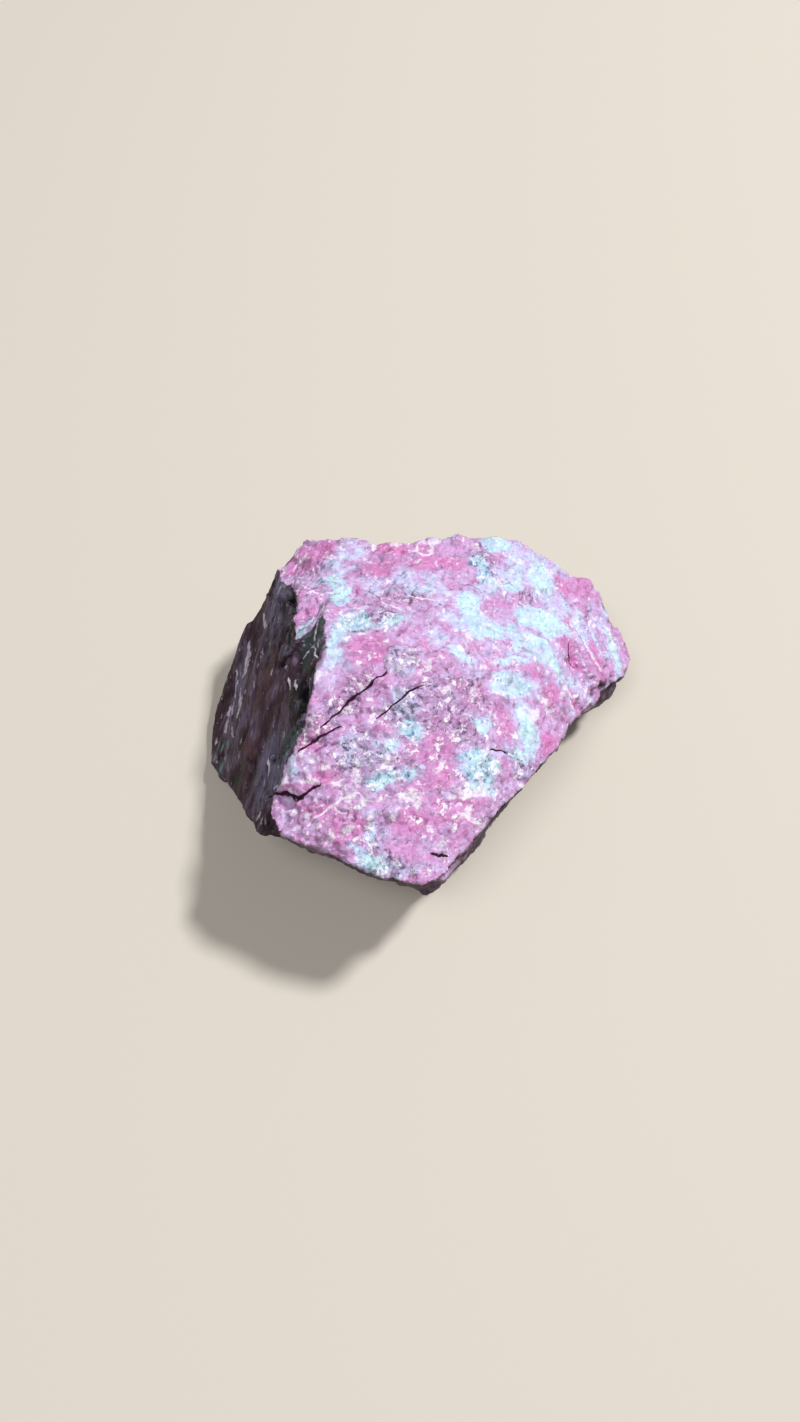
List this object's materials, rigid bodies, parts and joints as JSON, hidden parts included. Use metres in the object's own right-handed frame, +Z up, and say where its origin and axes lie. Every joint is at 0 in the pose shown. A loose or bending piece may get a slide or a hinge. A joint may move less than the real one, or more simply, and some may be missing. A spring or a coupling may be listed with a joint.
{
  "type": "rough rhodonite",
  "caption": "Palm-sized rough chunk of pink rhodonite with pale veins, a dark splintery cleavage face and a flat cleaved base to rest on.",
  "frame": {"origin": "middle of the bounding box, on the ground that the flat base rests on", "axes": "+X to the right, the longest way across; +Y to the back; +Z up, the shortest way"},
  "size_m": [0.0992, 0.0832, 0.0482],
  "materials": {
    "rhodonite_stone": "rough broken stone, dull with fine crystalline sparkle"
  },
  "bodies": {
    "root": {"rhodonite": "rhodonite_stone"}
  },
  "joints": []
}
